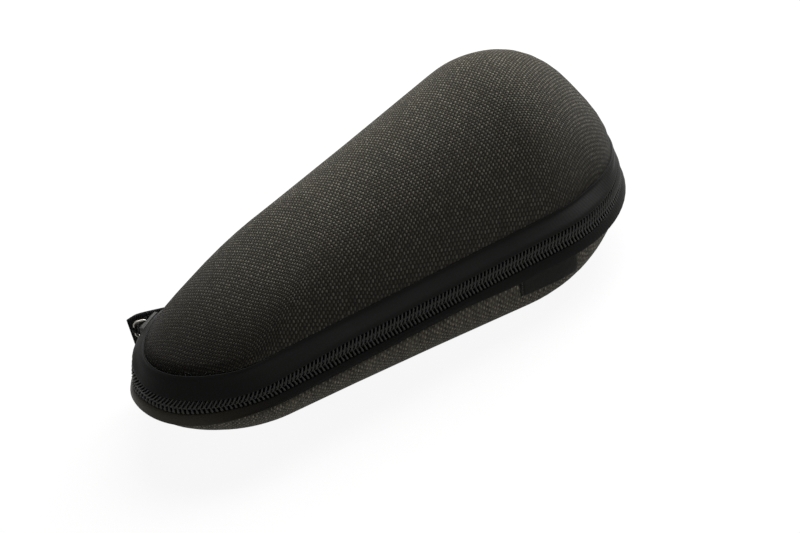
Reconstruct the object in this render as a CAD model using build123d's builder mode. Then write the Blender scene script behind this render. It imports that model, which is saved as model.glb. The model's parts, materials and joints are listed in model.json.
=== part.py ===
from build123d import *
from math import acos, atan2, cos, degrees, hypot, radians, sin, sqrt
import os

os.makedirs("parts", exist_ok=True)

# A moulded zip case for a shaver, closed and lying on its flat base. The narrow
# handle end points to -X, the wide head end to +X, the label side to -Y and the
# fabric hinge to +Y. The origin is on the base, under the middle of the case.

# Outline of the zip line, seen from above.
case_length = 200
wide_half = 40
narrow_half = 29.6
end_stretch = 1.21  # how much longer than a half circle each oval end is
join_angle = 35  # direction where an end's tip arc meets its shoulder arcs
least_flank = 1  # arcs that end nearer than this to each other need no flank between

# Heights are measured from the zip's centre line, which is this far above the table.
split_height = 25

# Upper shell: a tall dome that falls towards the handle end.
upper_rim = 7.7
upper_inset = 5.6  # how far the dome's foot stands in from the zip line
crown_wide = 44.9
crown_narrow = 29.4
crown_wide_move = -7.8
crown_narrow_move = 40
dome_angles = (0, 15, 30, 45, 60, 73, 84)

# Lower shell: shallower, with a flat base.
lower_rim = -5.7
lower_inset = -1.35
base_fullness = 0.985  # how far down its round wall the shell is cut flat
base_wide_move = -16.4
base_narrow_move = 9.2
tub_shares = (0, 0.25, 0.5, 0.7, 0.83, 0.93, 1)

# Moulded layers, from the outside in.
skin_thickness = 0.8
core_thickness = 4
lining_thickness = 0.7

# Flange of the upper core, which carries the slanting trim.
flange_bottom = 4.3
flange_toe_inset = 3.2

# Bindings that cover the raw rims inside.
binding_thickness = 0.7
binding_reach = 3
lip_depth = 0.7
lip_clearance = 0.9

# Zip: two rows of coil, each sewn to its tape.
coil_pitch = 1.63
coil_thickness = 2.2
coil_half_height = 3.4
coil_core_inset = 0.9
wire_width = 0.55
half_slot = 0.6  # half the open strip between the rows, where the slider's neck runs
tape_thickness = 0.6
lower_first_turn = 0.25  # where a row's first turn stands, as a share of the pitch
upper_first_turn = 0.75

# Trim that hides the zip's seams.
trim_thickness = 0.8
trim_foot_inset = 0.55
trim_foot = 4.25
trim_lip_inset = 0.2
trim_lip = 3.75
trim_bottom = 3.6
lower_trim_bulge_inset = -0.3
lower_trim_bulge = -3.95

# Ends of the pieces along the outline, as directions of its outward normal.
narrow_zip_angle = 99.5
wide_zip_angle = 78
upper_zip_angle = 128  # the upper tape stops short of the closed slider and its ring
narrow_gusset_angle = 99
wide_gusset_angle = 78.5
slider_angle = 112

# Stops at the ends of the zip, each in the bare stretch of tape past the coil.
stop_length = 1.6
stop_height = 2.6
stop_clearance = 0.05
stop_end_gap = 0.2

# Fabric hinge: a strip from the dome's foot down to the lower rim.
gusset_knee_inset = -0.6
gusset_knee = 1
gusset_gap = 0.3

# Slider.
slider_length = 9.6
slider_nose = 3.4
slider_half_height = 3.5
slider_tail_half_height = 2.8
blade_thickness = 1.1
inner_blade_thickness = 0.9
outer_blade_clearance = 0.3
inner_blade_inset = 3.4
blade_corner = 0.9
neck_height = 0.8
neck_length = 2.4
bridge_length = 5
bridge_height = 2.2
bridge_width = 2.2
bridge_bar = 0.8
bridge_corner = 0.9

# Pull ring.
ring_wire = 0.5
ring_length = 4.2
ring_half_height = 2.9
ring_corner = 1.2
ring_lean = 40  # from straight out towards the handle end

# Ribbon pull, looped round the ring's outer bar and hanging back along the far side.
loop_clearance = 0.2
loop_wall = 0.6
loop_width = 2.8
ribbon_thickness = 0.8
ribbon_lean = 15
ribbon_front = 1.4
ribbon_front_slant = 1.2
ribbon_level_length = 4
ribbon_length = 24
ribbon_top = 4.2
ribbon_bottom = -8
ribbon_droop = 8.2
ribbon_tail_height = 9

# Woven label on the near side, tucked under the trim.
label_thickness = 0.45
label_start = 25.5
label_end = 50
label_height = 7

# Sums that several pieces share.
wide_x = case_length / 2 - end_stretch * wide_half
narrow_x = end_stretch * narrow_half - case_length / 2
core_outside = skin_thickness
core_inside = core_outside + core_thickness
lining_inside = core_inside + lining_thickness
lower_depth = (split_height + lower_rim) / base_fullness
tape_inside = coil_thickness + tape_thickness
zip_plane = Plane.XY.offset(split_height)


def oval(half_width):
    """Radii and centre offsets of the tip arc and the shoulder arcs of one end."""
    join = radians(join_angle)
    difference = half_width * (end_stretch - 1) / (cos(join) + sin(join) - 1)
    tip_offset = difference * cos(join)
    shoulder_offset = difference * sin(join)
    tip = half_width * end_stretch - tip_offset
    return tip, tip_offset, tip + difference, shoulder_offset


def pear_arcs(inset=0, wide_scale=1, narrow_scale=1, wide_move=0, narrow_move=0):
    """The outline's six arcs, anticlockwise: centre, radius, first and last direction."""
    tip_w, tip_offset_w, shoulder_w, drop_w = oval(wide_half)
    tip_n, tip_offset_n, shoulder_n, drop_n = oval(narrow_half)
    wide = wide_x + wide_move
    narrow = narrow_x + narrow_move
    drop_w = drop_w * wide_scale
    drop_n = drop_n * narrow_scale
    radius_w = (shoulder_w - inset) * wide_scale
    radius_n = (shoulder_n - inset) * narrow_scale
    tip_radius_w = (tip_w - inset) * wide_scale
    tip_radius_n = (tip_n - inset) * narrow_scale
    run, rise = wide - narrow, drop_n - drop_w
    flank = degrees(atan2(rise, run) + acos((radius_n - radius_w) / hypot(run, rise)))
    turn = 180 - join_angle
    return [
        ((narrow, -drop_n), radius_n, flank, turn),
        ((narrow - tip_offset_n * narrow_scale, 0), tip_radius_n, turn, 360 - turn),
        ((narrow, drop_n), radius_n, 360 - turn, 360 - flank),
        ((wide, drop_w), radius_w, 360 - flank, 360 - join_angle),
        ((wide + tip_offset_w * wide_scale, 0), tip_radius_w, -join_angle, join_angle),
        ((wide, -drop_w), radius_w, join_angle, flank),
    ]


def on_arc(arc, direction):
    """The point of an arc whose outward normal has this direction."""
    (x, y), radius = arc[0], arc[1]
    angle = radians(direction)
    return x + radius * cos(angle), y + radius * sin(angle)


def draw_arcs(arcs):
    """Draws arcs in the open BuildLine, joined by straight flanks."""
    for centre, radius, start, end in arcs:
        CenterArc(centre, radius, start, end - start)
    for before, after in zip(arcs, arcs[1:]):
        start, end = on_arc(before, before[3]), on_arc(after, after[2])
        if hypot(end[0] - start[0], end[1] - start[1]) > least_flank:
            Line(start, end)


def draw_pear(**sizes):
    """Draws a whole pear outline in the open BuildLine."""
    arcs = pear_arcs(**sizes)
    draw_arcs(arcs)
    Line(on_arc(arcs[-1], arcs[-1][3]), on_arc(arcs[0], arcs[0][2]))


def zip_arcs(start, end):
    """Arcs from the far side of the handle end round the near side to the head end."""
    arcs = pear_arcs()
    first, last = arcs[0], arcs[-1]
    arcs[0] = (*first[:2], start, first[3])
    arcs[-1] = (*last[:3], end)
    return arcs


def gusset_arcs():
    """Arcs from the far side of the head end along the far flank to the zip's start."""
    arcs = pear_arcs()
    first, last = arcs[0], arcs[-1]
    return [(*last[:2], wide_gusset_angle, last[3]), (*first[:3], narrow_gusset_angle)]


def cut_plane(arc, direction):
    """Plane square across the zip line: x points inwards and y up."""
    x, y = on_arc(arc, direction)
    angle = radians(direction)
    return Plane(
        origin=(x, y, split_height),
        x_dir=(-cos(angle), -sin(angle), 0),
        z_dir=(-sin(angle), cos(angle), 0),
    )


def cross_section(arc, direction, points):
    """A flat profile across the zip line from points of inset and height."""
    with BuildSketch(cut_plane(arc, direction)) as section:
        Polygon(*points, align=None)
    return section.sketch


def upper_plane(fullness):
    """Plane of the dome's outline at this share of its height."""
    wide = wide_x + crown_wide_move * fullness
    narrow = narrow_x + crown_narrow_move * fullness
    slope = fullness * (crown_wide - crown_narrow) / (wide - narrow)
    height = split_height + upper_rim + fullness * crown_wide - slope * wide
    return Plane(origin=(0, 0, height), x_dir=(1, 0, slope), z_dir=(-slope, 0, 1))


def dome(layer):
    """Outlines of the filled upper dome, shrunk by a layer's depth."""
    shrink = (crown_wide - layer) / crown_wide
    levels = []
    for angle in dome_angles:
        fullness = sin(radians(angle))
        scale = cos(radians(angle))
        with BuildSketch(upper_plane(fullness * shrink)) as level:
            with BuildLine():
                draw_pear(
                    inset=upper_inset + layer,
                    wide_scale=scale,
                    narrow_scale=scale,
                    wide_move=crown_wide_move * fullness,
                    narrow_move=crown_narrow_move * fullness,
                )
            make_face()
        levels.append(level.sketch.face())
    return levels


def tub(layer):
    """Outlines of the filled lower shell, shrunk by a layer's depth."""
    depth = (lower_depth - layer) * base_fullness
    levels = []
    for share in tub_shares:
        fullness = share * base_fullness
        with BuildSketch(zip_plane.offset(lower_rim - depth * share)) as level:
            with BuildLine():
                draw_pear(
                    inset=lower_inset + layer,
                    wide_scale=(1 - fullness**4) ** 0.25,
                    narrow_scale=sqrt(1 - fullness**2),
                    wide_move=base_wide_move * fullness,
                    narrow_move=base_narrow_move * fullness,
                )
            make_face()
        levels.append(level.sketch.face())
    return levels


def collar(outside, inside, height):
    """The flat profile of an upright ring between two insets."""
    with BuildSketch(zip_plane.offset(height)) as ring:
        with BuildLine():
            draw_pear(inset=outside)
        make_face()
        with BuildLine():
            draw_pear(inset=inside)
        make_face(mode=Mode.SUBTRACT)
    return ring.sketch


def write(piece, name):
    """Labels a finished piece and writes its file."""
    piece.part.label = name
    export_step(piece.part, f"parts/{name}.step")


# The slanting trim's inner face runs parallel to its outer face.
slant_run = upper_inset - trim_foot_inset
slant_rise = upper_rim - trim_foot
slant = slant_rise / slant_run
slant_drop = trim_thickness * hypot(slant_run, slant_rise) / slant_run
dome_core_inset = upper_inset + core_outside
dome_lining_inset = upper_inset + core_inside
dome_room_inset = upper_inset + lining_inside


def slant_inner(inset):
    """Height of the slanting trim's inner face at an inset."""
    return trim_foot - slant_drop + slant * (inset - trim_foot_inset)


first_arc = pear_arcs()[0]
last_arc = pear_arcs()[-1]
stop_room = stop_length + 2 * stop_end_gap
narrow_coil_angle = narrow_zip_angle + degrees(stop_room / first_arc[1])
wide_coil_angle = wide_zip_angle - degrees(stop_room / last_arc[1])

with BuildLine(zip_plane) as loop:
    draw_pear()
loop_start = pear_arcs()[0][2]

with BuildLine(zip_plane) as zip_track:
    draw_arcs(zip_arcs(narrow_zip_angle, wide_zip_angle))

with BuildLine(zip_plane) as upper_track:
    draw_arcs(zip_arcs(upper_zip_angle, wide_zip_angle))

with BuildLine(zip_plane) as lower_coil_track:
    draw_arcs(zip_arcs(narrow_coil_angle, wide_coil_angle))

with BuildLine(zip_plane) as upper_coil_track:
    draw_arcs(zip_arcs(upper_zip_angle, wide_coil_angle))

with BuildLine(zip_plane) as gusset_track:
    draw_arcs(gusset_arcs())

# Upper shell: woven skin, foam core with its flange, lining and rim binding.
with BuildPart() as upper_skin:
    loft(dome(0))
    loft(dome(core_outside), mode=Mode.SUBTRACT)
write(upper_skin, "upper_skin")

with BuildPart() as upper_core:
    loft(dome(core_outside))
    loft(dome(core_inside), mode=Mode.SUBTRACT)
    flange = (
        (dome_core_inset, upper_rim),
        (dome_core_inset, slant_inner(dome_core_inset)),
        (flange_toe_inset, slant_inner(flange_toe_inset)),
        (flange_toe_inset, flange_bottom),
        (dome_lining_inset, flange_bottom),
        (dome_lining_inset, upper_rim),
    )
    sweep(cross_section(first_arc, loop_start, flange), path=loop.wire())
write(upper_core, "upper_core")

with BuildPart() as upper_lining:
    loft(dome(core_inside))
    loft(dome(lining_inside), mode=Mode.SUBTRACT)
    extrude(
        collar(dome_lining_inset, dome_room_inset, flange_bottom),
        amount=upper_rim - flange_bottom,
    )
write(upper_lining, "upper_lining")

with BuildPart() as upper_binding:
    binding = (
        (dome_lining_inset - binding_reach, flange_bottom),
        (dome_lining_inset - binding_reach, flange_bottom - binding_thickness),
        (dome_room_inset + binding_thickness, flange_bottom - binding_thickness),
        (dome_room_inset + binding_thickness, upper_rim - binding_thickness),
        (dome_room_inset, upper_rim - binding_thickness),
        (dome_room_inset, flange_bottom),
    )
    sweep(cross_section(first_arc, loop_start, binding), path=loop.wire())
write(upper_binding, "upper_binding")

# Lower shell: the same layers round a flat base.
with BuildPart() as lower_skin:
    loft(tub(0))
    loft(tub(core_outside), mode=Mode.SUBTRACT)
write(lower_skin, "lower_skin")

with BuildPart() as lower_core:
    loft(tub(core_outside))
    loft(tub(core_inside), mode=Mode.SUBTRACT)
write(lower_core, "lower_core")

with BuildPart() as lower_lining:
    loft(tub(core_inside))
    loft(tub(lining_inside), mode=Mode.SUBTRACT)
write(lower_lining, "lower_lining")

with BuildPart() as lower_binding:
    lip_inset = lower_inset + lining_inside + lip_clearance
    binding = (
        (tape_inside, lower_rim),
        (tape_inside, lower_rim + binding_thickness),
        (lip_inset + binding_thickness, lower_rim + binding_thickness),
        (lip_inset + binding_thickness, lower_rim - lip_depth),
        (lip_inset, lower_rim - lip_depth),
        (lip_inset, lower_rim),
    )
    sweep(cross_section(first_arc, loop_start, binding), path=loop.wire())
write(lower_binding, "lower_binding")

# Trim over the zip's seams.
with BuildPart() as upper_trim:
    trim = (
        (upper_inset, upper_rim),
        (trim_foot_inset, trim_foot),
        (trim_lip_inset, trim_lip),
        (trim_lip_inset + trim_thickness, trim_bottom),
        (tape_inside, trim_bottom),
        (tape_inside, slant_inner(tape_inside)),
        (dome_core_inset, slant_inner(dome_core_inset)),
        (dome_core_inset, upper_rim),
    )
    sweep(cross_section(first_arc, narrow_zip_angle, trim), path=zip_track.wire())
write(upper_trim, "upper_trim")

with BuildPart() as lower_trim:
    trim = (
        (lower_inset, lower_rim),
        (lower_trim_bulge_inset, lower_trim_bulge),
        (0, -trim_bottom),
        (tape_inside, -trim_bottom),
        (tape_inside, lower_rim),
    )
    sweep(cross_section(first_arc, narrow_zip_angle, trim), path=zip_track.wire())
write(lower_trim, "lower_trim")

# Zip tapes, upright behind the coil.
with BuildPart() as lower_zip_tape:
    tape = (
        (coil_thickness, -half_slot),
        (coil_thickness, -trim_bottom),
        (tape_inside, -trim_bottom),
        (tape_inside, -half_slot),
    )
    sweep(cross_section(first_arc, narrow_zip_angle, tape), path=zip_track.wire())
write(lower_zip_tape, "lower_zip_tape")

with BuildPart() as upper_zip_tape:
    tape = (
        (coil_thickness, half_slot),
        (coil_thickness, trim_bottom),
        (tape_inside, trim_bottom),
        (tape_inside, half_slot),
    )
    sweep(cross_section(first_arc, upper_zip_angle, tape), path=upper_track.wire())
write(upper_zip_tape, "upper_zip_tape")


def coil_core(low, high):
    """Profile of the solid middle of a row of coil."""
    return (
        (coil_core_inset, low),
        (coil_core_inset, high),
        (coil_thickness, high),
        (coil_thickness, low),
    )


def coil_turns(track, first, height):
    """Planes of the turns along a row, the row's first turn at a share of the pitch."""
    wire = track.wire()
    count = int(wire.length / coil_pitch)
    planes = []
    for turn in range(count):
        share = (turn + first) / count
        point, along = wire @ share, wire % share
        inwards = (-along.Y, along.X, 0)
        planes.append(Plane(origin=point, x_dir=inwards, z_dir=along))
    return [plane.shift_origin(plane.from_local_coords((0, height, 0))) for plane in planes]


# Coil: a core strip with one upright turn of wire per pitch, each row's turns
# standing between those of the other row.
turn_height = coil_half_height - half_slot
turn_middle = (coil_half_height + half_slot) / 2
turn_depth = coil_core_inset - stop_clearance

with BuildPart() as lower_coil:
    section = coil_core(-coil_half_height, -half_slot)
    sweep(cross_section(first_arc, narrow_coil_angle, section), path=lower_coil_track.wire())
    with Locations(*coil_turns(lower_coil_track, lower_first_turn, -turn_middle)):
        Box(turn_depth, turn_height, wire_width, align=(Align.MIN, Align.CENTER, Align.CENTER))
write(lower_coil, "lower_coil")

with BuildPart() as upper_coil:
    section = coil_core(half_slot, coil_half_height)
    sweep(cross_section(first_arc, upper_zip_angle, section), path=upper_coil_track.wire())
    with Locations(*coil_turns(upper_coil_track, upper_first_turn, turn_middle)):
        Box(turn_depth, turn_height, wire_width, align=(Align.MIN, Align.CENTER, Align.CENTER))
write(upper_coil, "upper_coil")

# Stops clamped on the lower tape at both ends of the coil.
stop_depth = coil_thickness - 2 * stop_clearance
stop_middle = -half_slot - stop_height / 2
stop_places = (
    ("handle_stop", first_arc, (narrow_zip_angle + narrow_coil_angle) / 2),
    ("head_stop", last_arc, (wide_zip_angle + wide_coil_angle) / 2),
)
for name, arc, direction in stop_places:
    place = cut_plane(arc, direction)
    with BuildPart(place) as stop:
        with Locations((stop_clearance, stop_middle, 0)):
            Box(stop_depth, stop_height, stop_length, align=(Align.MIN, Align.CENTER, Align.CENTER))
    write(stop, name)

# Fabric hinge.
with BuildPart() as hinge_gusset:
    gusset = (
        (upper_inset, upper_rim),
        (trim_foot_inset, trim_foot),
        (gusset_knee_inset, gusset_knee),
        (lower_inset, lower_rim + gusset_gap),
        (lower_inset + trim_thickness, lower_rim + gusset_gap),
        (gusset_knee_inset + trim_thickness, gusset_knee),
        (trim_foot_inset + trim_thickness, slant_inner(trim_foot_inset + trim_thickness)),
        (dome_core_inset, slant_inner(dome_core_inset)),
        (dome_core_inset, upper_rim),
    )
    sweep(cross_section(last_arc, wide_gusset_angle, gusset), path=gusset_track.wire())
write(hinge_gusset, "hinge_gusset")

# Label: a thin patch that follows the lower shell's wall.
with BuildPart() as side_label:
    loft(tub(-label_thickness))
    loft(tub(0), mode=Mode.SUBTRACT)
    with Locations((label_start, 0, split_height + lower_rim)):
        Box(
            label_end - label_start,
            wide_half * 2,
            label_height,
            align=(Align.MIN, Align.MAX, Align.MAX),
            mode=Mode.INTERSECT,
        )
write(side_label, "side_label")

# Slider. Its own directions: out of the case, and along the zip to the handle tip.
slider_x, slider_y = on_arc(first_arc, slider_angle)
slider_turn = radians(slider_angle)
slider_point = Vector(slider_x, slider_y, split_height)
outwards = Vector(cos(slider_turn), sin(slider_turn), 0)
tipwards = Vector(-sin(slider_turn), cos(slider_turn), 0)


def blade_plane(height):
    """Plane parallel to a slider blade, this far outside the zip line."""
    return Plane(origin=slider_point + outwards * height, x_dir=tipwards, z_dir=outwards)


def blade_outline():
    """Draws a slider blade, broad at the hinge end and narrower towards the tip."""
    half = slider_length / 2
    shoulder = slider_nose - half
    Polygon(
        (-half, -slider_half_height),
        (shoulder, -slider_half_height),
        (half, -slider_tail_half_height),
        (half, slider_tail_half_height),
        (shoulder, slider_half_height),
        (-half, slider_half_height),
        align=None,
    )


blade_top = outer_blade_clearance + blade_thickness
inner_blade_back = inner_blade_inset + inner_blade_thickness
window_height = bridge_height - bridge_bar

with BuildPart() as slider_body:
    with BuildSketch(blade_plane(outer_blade_clearance)) as outer_blade:
        blade_outline()
        fillet(outer_blade.vertices(), blade_corner)
    extrude(amount=blade_thickness)
    with BuildSketch(blade_plane(-inner_blade_back)) as inner_blade:
        blade_outline()
        fillet(inner_blade.vertices(), blade_corner)
    extrude(amount=inner_blade_thickness)
    with BuildSketch(blade_plane(-inner_blade_inset)):
        with Locations(((neck_length - slider_length) / 2 + blade_corner / 2, 0)):
            Rectangle(neck_length, neck_height)
    extrude(amount=inner_blade_inset + outer_blade_clearance)
    bridge_plane = Plane(origin=slider_point, x_dir=tipwards, z_dir=(0, 0, -1))
    with BuildSketch(bridge_plane) as bridge:
        with Locations((0, blade_top)):
            Rectangle(bridge_length, bridge_height, align=(Align.CENTER, Align.MIN))
        fillet(bridge.vertices().group_by(Axis(slider_point, outwards))[-1], bridge_corner)
        with Locations((0, blade_top)):
            window_length = bridge_length - 2 * bridge_bar
            Rectangle(
                window_length,
                window_height,
                align=(Align.CENTER, Align.MIN),
                mode=Mode.SUBTRACT,
            )
    extrude(amount=bridge_width / 2, both=True)
write(slider_body, "slider_body")

# Pull ring, a closed wire through the slider's bridge.
pull_turn = radians(slider_angle + ring_lean)
pull_direction = Vector(cos(pull_turn), sin(pull_turn), 0)
pivot = slider_point + outwards * (blade_top + window_height / 2)
up = Vector(0, 0, 1)
ring_plane = Plane(origin=pivot, x_dir=pull_direction, z_dir=pull_direction.cross(up))

with BuildPart() as pull_ring:
    with BuildLine(ring_plane) as ring_path:
        FilletPolyline(
            (0, -ring_half_height),
            (ring_length, -ring_half_height),
            (ring_length, ring_half_height),
            (0, ring_half_height),
            radius=ring_corner,
            close=True,
        )
    with BuildSketch(Plane(origin=ring_path.wire() @ 0, z_dir=ring_path.wire() % 0)):
        Circle(ring_wire)
    sweep(path=ring_path.wire())
write(pull_ring, "pull_ring")

# Ribbon pull: a small loop round the ring's outer bar and a flat hanging tail.
outer_bar = pivot + pull_direction * ring_length
lean = radians(ribbon_lean)
tail_direction = tipwards * -cos(lean) - outwards * sin(lean)
tail_face = outwards * cos(lean) - tipwards * sin(lean)
loop_inside = ring_wire + loop_clearance
loop_outside = loop_inside + loop_wall
tail_inner_face = loop_outside - loop_wall / 2

with BuildPart() as ribbon_pull:
    with BuildSketch(Plane(origin=outer_bar, x_dir=tail_direction)):
        Circle(loop_outside)
        Circle(loop_inside, mode=Mode.SUBTRACT)
    extrude(amount=loop_width / 2, both=True)
    tail_plane = Plane(
        origin=outer_bar + tail_face * tail_inner_face,
        x_dir=tail_direction,
        z_dir=tail_face * -1,
    )
    with BuildSketch(tail_plane):
        Polygon(
            (-ribbon_front, ribbon_top),
            (ribbon_level_length - ribbon_front, ribbon_top),
            (ribbon_length, ribbon_top - ribbon_droop),
            (ribbon_length, ribbon_top - ribbon_droop - ribbon_tail_height),
            (ribbon_front_slant - ribbon_front, ribbon_bottom),
            align=None,
        )
    extrude(amount=-ribbon_thickness)
write(ribbon_pull, "ribbon_pull")
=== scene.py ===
# %% [markdown]
# # A moulded zip case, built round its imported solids
# The case is two foam shells covered in woven cloth, joined by a coil zip round the
# near side and by a strip of cloth along the far side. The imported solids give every
# size and place, so each piece made here stands for one of them. Each step below
# dresses one piece of the case in its real material.

import json
from math import acos, atan, atan2, cos, degrees, hypot, pi, radians, sin, sqrt

import bmesh
import bpy
from mathutils import Matrix, Vector

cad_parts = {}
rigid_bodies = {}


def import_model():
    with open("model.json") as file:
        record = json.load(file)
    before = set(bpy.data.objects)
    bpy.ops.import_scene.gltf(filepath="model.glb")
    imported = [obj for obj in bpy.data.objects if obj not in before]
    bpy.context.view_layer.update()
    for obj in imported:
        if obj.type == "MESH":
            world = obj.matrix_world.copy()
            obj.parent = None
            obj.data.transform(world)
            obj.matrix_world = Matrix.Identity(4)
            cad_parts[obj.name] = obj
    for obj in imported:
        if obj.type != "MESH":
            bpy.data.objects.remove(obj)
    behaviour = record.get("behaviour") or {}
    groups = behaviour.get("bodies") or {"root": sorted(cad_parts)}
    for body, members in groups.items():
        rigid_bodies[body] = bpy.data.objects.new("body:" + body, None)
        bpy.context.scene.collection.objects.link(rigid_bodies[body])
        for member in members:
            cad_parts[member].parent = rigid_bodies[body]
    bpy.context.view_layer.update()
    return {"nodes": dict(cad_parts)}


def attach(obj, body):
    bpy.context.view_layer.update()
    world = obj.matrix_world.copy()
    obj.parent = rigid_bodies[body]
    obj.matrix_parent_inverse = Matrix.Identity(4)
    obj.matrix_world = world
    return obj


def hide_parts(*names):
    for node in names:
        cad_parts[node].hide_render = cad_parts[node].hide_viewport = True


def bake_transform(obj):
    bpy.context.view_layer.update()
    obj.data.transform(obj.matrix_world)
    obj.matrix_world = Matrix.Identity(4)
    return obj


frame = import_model()
MM = 0.001
print("solids:", sorted(frame["nodes"]))

# %% [markdown]
# ## Camera
# The case is seen from its near left and from above, through a long lens. A Track To
# constraint could aim the camera, but it can't roll it, so the camera's three axes are
# worked out and set as one matrix. The middle of the view isn't quite on the lens's
# axis, so the camera has a small shift too.

# %% Camera
AIM = Vector((0, 0, 25)) * MM
DISTANCE = 645.7 * MM
AZIMUTH, ELEVATION, ROLL = radians(-35.53), radians(34.88), radians(-7.82)
FOCAL_LENGTH, SHIFT = 84.99, (0.0186, -0.0148)

backwards = Vector((
    sin(AZIMUTH) * cos(ELEVATION), -cos(AZIMUTH) * cos(ELEVATION), sin(ELEVATION),
))
level_right = Vector((0, 0, 1)).cross(backwards).normalized()
right = Matrix.Rotation(ROLL, 3, backwards) @ level_right
upwards = backwards.cross(right)
camera = bpy.data.objects.new("camera", bpy.data.cameras.new("camera"))
camera.data.lens = FOCAL_LENGTH
camera.data.shift_x, camera.data.shift_y = SHIFT
camera.data.clip_start = 0.01
camera.matrix_world = Matrix.Translation(AIM + backwards * DISTANCE) @ Matrix(
    (right, upwards, backwards)
).transposed().to_4x4()
bpy.context.scene.collection.objects.link(camera)
bpy.context.scene.camera = camera
print("camera at", [round(value, 3) for value in camera.location])

# %% [markdown]
# ## Colours and nodes
# Colours are written as they look on a screen and turned linear once. Every node could
# be made, set and linked on its own lines, but a material is a handful of nodes, so one
# small function adds a node with its settings and links. Where a socket is given a whole
# node, it is linked to that node's first output.


# %% Helpers for materials
def linear(colour):
    """A hex colour such as "6b665e" as linear red, green, blue and alpha."""
    values = [int(colour[place:place + 2], 16) / 255 for place in (0, 2, 4)]
    return [v / 12.92 if v <= 0.04045 else ((v + 0.055) / 1.055) ** 2.4 for v in values] + [1]


def connect(tree, node, inputs):
    """Gives a node's sockets plain values, outputs to link, or nodes to link."""
    for socket, value in dict(inputs).items():
        if isinstance(value, bpy.types.Node):
            value = value.outputs[0]
        if isinstance(value, bpy.types.NodeSocket):
            tree.links.new(value, node.inputs[socket])
        else:
            node.inputs[socket].default_value = value


def add(tree, kind, inputs=(), **settings):
    """Adds a node, with its settings and with values or links for its sockets."""
    made = tree.nodes.new(kind)
    for name, value in settings.items():
        setattr(made, name, value)
    connect(tree, made, inputs)
    return made


def new_material(name):
    """An empty material, its node tree and its shader."""
    material = bpy.data.materials.new(name)
    material.use_nodes = True
    tree = material.node_tree
    return material, tree, tree.nodes["Principled BSDF"]


print("mid grey is", round(linear("808080")[0], 3), "in linear light")

# %% [markdown]
# ## Lamps and room
# Studio light for a small dark product: one big soft lamp overhead and a little behind,
# a second one high over the head end, and a white room. A brighter room would give the
# white background but wash out the black cloth. So the room is dim for the light that
# falls on the case, and white only where the camera or a reflection looks at it.

# %% Lamps and room
scene = bpy.context.scene
scene.view_settings.view_transform = "Standard"

# Place in metres, width in metres and power in watts.
LAMPS = {
    "overhead": ((0.35, 0.40, 0.75), 0.50, 8.0),
    "head_high": ((0.65, 0.15, 0.65), 0.50, 10.5),
}
for name, (place, size, power) in LAMPS.items():
    lamp = bpy.data.lights.new(name, "AREA")
    lamp.size = size
    lamp.energy = power
    holder = bpy.data.objects.new(name, lamp)
    holder.location = place
    holder.rotation_euler = (AIM - Vector(place)).to_track_quat("-Z", "Y").to_euler()
    scene.collection.objects.link(holder)

ROOM_LIGHT = 0.02
world = bpy.data.worlds.new("white_room")
scene.world = world
world.use_nodes = True
room = world.node_tree
seen = add(room, "ShaderNodeLightPath").outputs
shown = seen["Is Camera Ray"]
for ray in ("Is Glossy Ray", "Is Transmission Ray"):
    shown = add(room, "ShaderNodeMath", {0: shown, 1: seen[ray]}, operation="MAXIMUM")
strength = add(room, "ShaderNodeMapRange", {"Value": shown, "To Min": ROOM_LIGHT, "To Max": 1.0})
connect(room, room.nodes["Background"], {"Color": (1, 1, 1, 1), "Strength": strength})
print("lamps:", list(LAMPS))

# %% [markdown]
# ## Ground
# The case lies on matt white paper over a light table. Plain white paper renders grey,
# because it isn't lit evenly. A little glow added to its colour makes it white from
# the camera, and the rest of it still takes the case's shadow.

# %% Ground
SHADOW_SHARE = 0.08  # how much of the case's shadow the white ground keeps
TABLE_GLOW = 0.40  # how much of full white the ground sends up to the case
GROUND_HALF = 3.0

paper, tree, shader = new_material("white_seamless_paper")
connect(tree, shader, {"Base Color": linear("f4f4f2"), "Roughness": 0.9})
seen = add(tree, "ShaderNodeLightPath").outputs["Is Camera Ray"]
share = add(tree, "ShaderNodeMath", {0: seen, 1: 1 - SHADOW_SHARE}, operation="MULTIPLY")
share = add(tree, "ShaderNodeMath", {0: share, 1: TABLE_GLOW}, operation="MAXIMUM")
glow = add(tree, "ShaderNodeEmission", {"Strength": 1.0})
mixed = add(tree, "ShaderNodeMixShader", {0: share, 1: shader, 2: glow})
connect(tree, tree.nodes["Material Output"], {0: mixed})

bm = bmesh.new()
bmesh.ops.create_grid(bm, x_segments=1, y_segments=1, size=GROUND_HALF)
ground = bpy.data.objects.new("ground", bpy.data.meshes.new("ground"))
bm.to_mesh(ground.data)
bm.free()
ground.data.materials.append(paper)
scene.collection.objects.link(ground)
print("ground:", 2 * GROUND_HALF, "m wide")

# %% [markdown]
# ## The outline
# Seen from above the case is a pear: an oval end at each side, joined by straight
# flanks. A curve object could hold it, but then the zip's turns couldn't be set out
# along it exactly. Here each oval is three arcs that meet smoothly, so a piece that
# follows the zip is spun round each arc in turn and drawn straight along the flanks.

# %% The outline's sizes, in millimetres
CASE_LENGTH = 200
WIDE_HALF, NARROW_HALF = 40, 29.6
END_STRETCH, JOIN_ANGLE = 1.21, 35
SPLIT_HEIGHT = 25

WIDE_X = CASE_LENGTH / 2 - END_STRETCH * WIDE_HALF
NARROW_X = END_STRETCH * NARROW_HALF - CASE_LENGTH / 2
print("middles of the ovals at", round(WIDE_X, 1), "and", round(NARROW_X, 1), "mm")


# %% The outline's arcs
def oval(half_width):
    """Radius and offset of the tip arc, then of the shoulder arcs, of one end."""
    join = radians(JOIN_ANGLE)
    difference = half_width * (END_STRETCH - 1) / (cos(join) + sin(join) - 1)
    tip_offset = difference * cos(join)
    tip = half_width * END_STRETCH - tip_offset
    return tip, tip_offset, tip + difference, difference * sin(join)


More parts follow.
